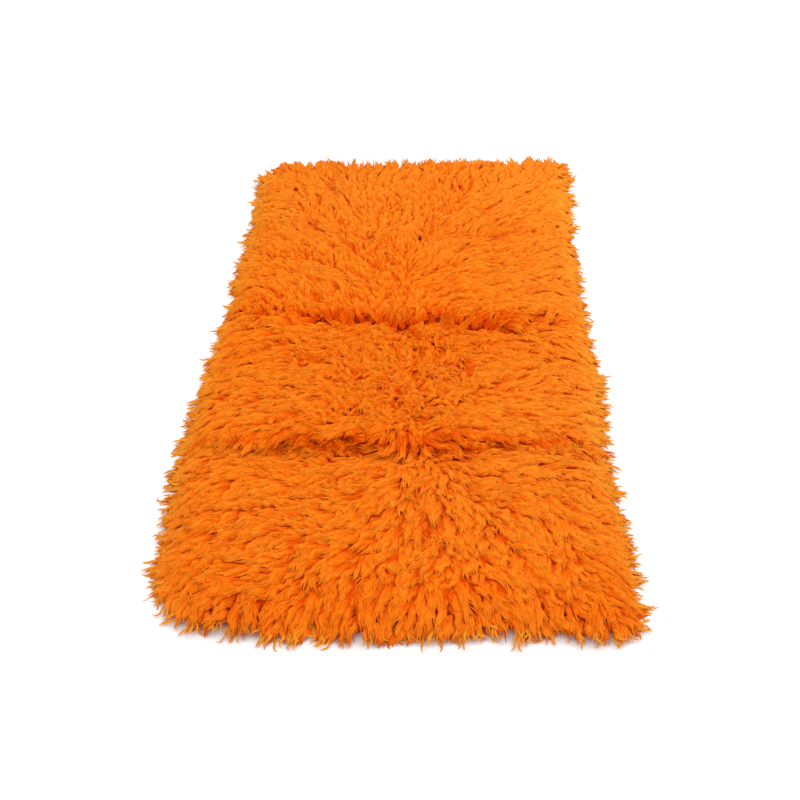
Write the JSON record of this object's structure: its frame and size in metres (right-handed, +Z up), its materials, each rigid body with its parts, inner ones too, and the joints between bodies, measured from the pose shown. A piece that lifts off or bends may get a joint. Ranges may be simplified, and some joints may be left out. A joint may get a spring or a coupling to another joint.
{
  "type": "long-pile wool shag rug",
  "caption": "Small oblong shag rug of long orange wool pile that parts along old fold lines, with combed locks round its rim; lies flat on a floor.",
  "frame": {"origin": "on the floor under the middle of the rug's box", "axes": "+X across the rug, +Y along it away from the near end, +Z up from the floor"},
  "size_m": [0.764, 1.4646, 0.0548],
  "materials": {
    "orange_wool": "matt long wool pile, saturated orange, redder at the roots"
  },
  "bodies": {
    "root": {"shag_rug": "orange_wool"}
  },
  "joints": []
}
